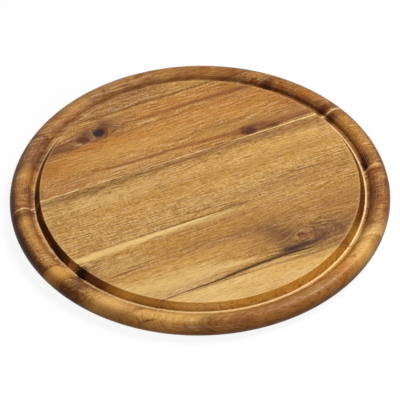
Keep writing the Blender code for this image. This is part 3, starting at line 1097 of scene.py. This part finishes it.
def glue_film(name, low, high):
    """A film that fills a seam, with the outline of the turned section on both of its faces."""
    section = turned_section()
    outlines = []
    points = []
    for seam in (low, high):
        right = [seam_point((seam, 1, False, 0), ring, GLUE_SHRINK) for ring in section]
        left = [seam_point((seam, 1, True, 0), ring, GLUE_SHRINK) for ring in reversed(section)]
        outlines.append(range(len(points), len(points) + len(right) + len(left)))
        points += right + left
    front, back = outlines
    count = len(front)
    faces = [list(reversed(front)), list(back)]
    for index in range(count):
        after = (index + 1) % count
        faces.append((front[index], front[after], back[after], back[index]))
    return new_piece(name, points, faces)


for node in ("back_edge_glue_line", "back_glue_line", "front_glue_line", "front_edge_glue_line"):
    lowest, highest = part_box(node)
    film = glue_film(node + "_finished", lowest.y / MM, highest.y / MM)
    film.data.materials.append(glue.material)
    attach(film, "root")
    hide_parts(node)

# Studio
# A plain white table under soft light: a large lamp high on the right, a weaker one low in front,
# and a dim even room. The camera looks down on the board from a long way off.
FLOOR_SIZE = 12.0
FLOOR_DROP = 0.0001
VIEW_AZIMUTH = math.radians(-23.7)
VIEW_ELEVATION = math.radians(43.79)
VIEW_ROLL = math.radians(-0.853)
VIEW_DISTANCE = 6.0
LENS = 822.3
SENSOR = 36.0
AIM_DROP = 0.00118
CLIP_END = 50.0
LAMP_DISTANCE = 1.6
LAMP_SIZE = 0.6
SHADE_SHARE = 0.1
BOUNCE = 0.07
ROOM_LIGHT = 0.06
WHITE = (1.0, 1.0, 1.0, 1.0)


def direction(azimuth, elevation):
    """The way from the board to a thing at this bearing, where 0 is in front and 90 is at the right."""
    flat = math.cos(elevation)
    return Vector((math.sin(azimuth) * flat, -math.cos(azimuth) * flat, math.sin(elevation)))


bpy.ops.mesh.primitive_plane_add(size=FLOOR_SIZE, location=(0.0, 0.0, -FLOOR_DROP))
floor = bpy.context.object
floor.name = "floor"


def seen_directly(tree):
    """Whether a ray comes from the camera, or by way of a reflection or through glass."""
    path = tree.nodes.new("ShaderNodeLightPath")
    share = path.outputs["Is Camera Ray"]
    for kind in ("Is Glossy Ray", "Is Transmission Ray"):
        larger = tree.nodes.new("ShaderNodeMath")
        larger.operation = "MAXIMUM"
        tree.links.new(share, larger.inputs[0])
        tree.links.new(path.outputs[kind], larger.inputs[1])
        share = larger.outputs[0]
    return share


def mixed(tree, share, first, second):
    """Two finishes mixed, with this share of the second."""
    mix = tree.nodes.new("ShaderNodeMixShader")
    if isinstance(share, float):
        mix.inputs[0].default_value = share
    else:
        tree.links.new(share, mix.inputs[0])
    tree.links.new(first, mix.inputs[1])
    tree.links.new(second, mix.inputs[2])
    return mix.outputs[0]


floor_paint = bpy.data.materials.new("white_table")
floor_paint.use_nodes = True
paint = floor_paint.node_tree
paint.nodes.remove(paint.nodes["Principled BSDF"])
glow = paint.nodes.new("ShaderNodeEmission")
shade = paint.nodes.new("ShaderNodeBsdfDiffuse")
shade.inputs["Color"].default_value = WHITE
dim = paint.nodes.new("ShaderNodeBsdfDiffuse")
dim.inputs["Color"].default_value = (BOUNCE, BOUNCE, BOUNCE, 1.0)
white = mixed(paint, SHADE_SHARE, glow.outputs[0], shade.outputs[0])
surface = mixed(paint, seen_directly(paint), dim.outputs[0], white)
paint.links.new(surface, paint.nodes["Material Output"].inputs["Surface"])
floor.data.materials.append(floor_paint)

world = bpy.data.worlds.new("room")
bpy.context.scene.world = world
world.use_nodes = True
room = world.node_tree
room.nodes["Background"].inputs["Color"].default_value = WHITE
brightness = room.nodes.new("ShaderNodeMapRange")
brightness.inputs["To Min"].default_value = ROOM_LIGHT
brightness.inputs["To Max"].default_value = 1.0
room.links.new(seen_directly(room), brightness.inputs["Value"])
room.links.new(brightness.outputs[0], room.nodes["Background"].inputs["Strength"])


def lamp(name, azimuth, elevation, power):
    """A square soft lamp that looks at the middle of the board."""
    light = bpy.data.lights.new(name, "AREA")
    light.size = LAMP_SIZE
    light.energy = power
    stand = bpy.data.objects.new(name, light)
    way = direction(azimuth, elevation)
    stand.location = way * LAMP_DISTANCE
    stand.rotation_mode = "QUATERNION"
    stand.rotation_quaternion = way.to_track_quat("Z", "Y")
    bpy.context.scene.collection.objects.link(stand)


lamp("side_lamp", azimuth=math.radians(98), elevation=math.radians(60), power=24.5)
lamp("front_lamp", azimuth=math.radians(-25), elevation=math.radians(18), power=12.0)

look = -direction(VIEW_AZIMUTH, VIEW_ELEVATION)
right = look.cross(Vector((0.0, 0.0, 1.0))).normalized()
picture_up = right.cross(look)
turned_right = math.cos(VIEW_ROLL) * right + math.sin(VIEW_ROLL) * picture_up
turned_up = math.cos(VIEW_ROLL) * picture_up - math.sin(VIEW_ROLL) * right
aim = Vector((0.0, 0.0, BOARD_THICKNESS / 2 * MM)) - turned_up * AIM_DROP
camera_data = bpy.data.cameras.new("camera")
camera_data.lens = LENS
camera_data.sensor_width = SENSOR
camera_data.clip_end = CLIP_END
camera = bpy.data.objects.new("camera", camera_data)
facing = Matrix((turned_right, turned_up, -look)).transposed().to_4x4()
camera.matrix_world = Matrix.Translation(aim - look * VIEW_DISTANCE) @ facing
bpy.context.scene.collection.objects.link(camera)
bpy.context.scene.camera = camera
bpy.context.scene.view_settings.view_transform = "Standard"
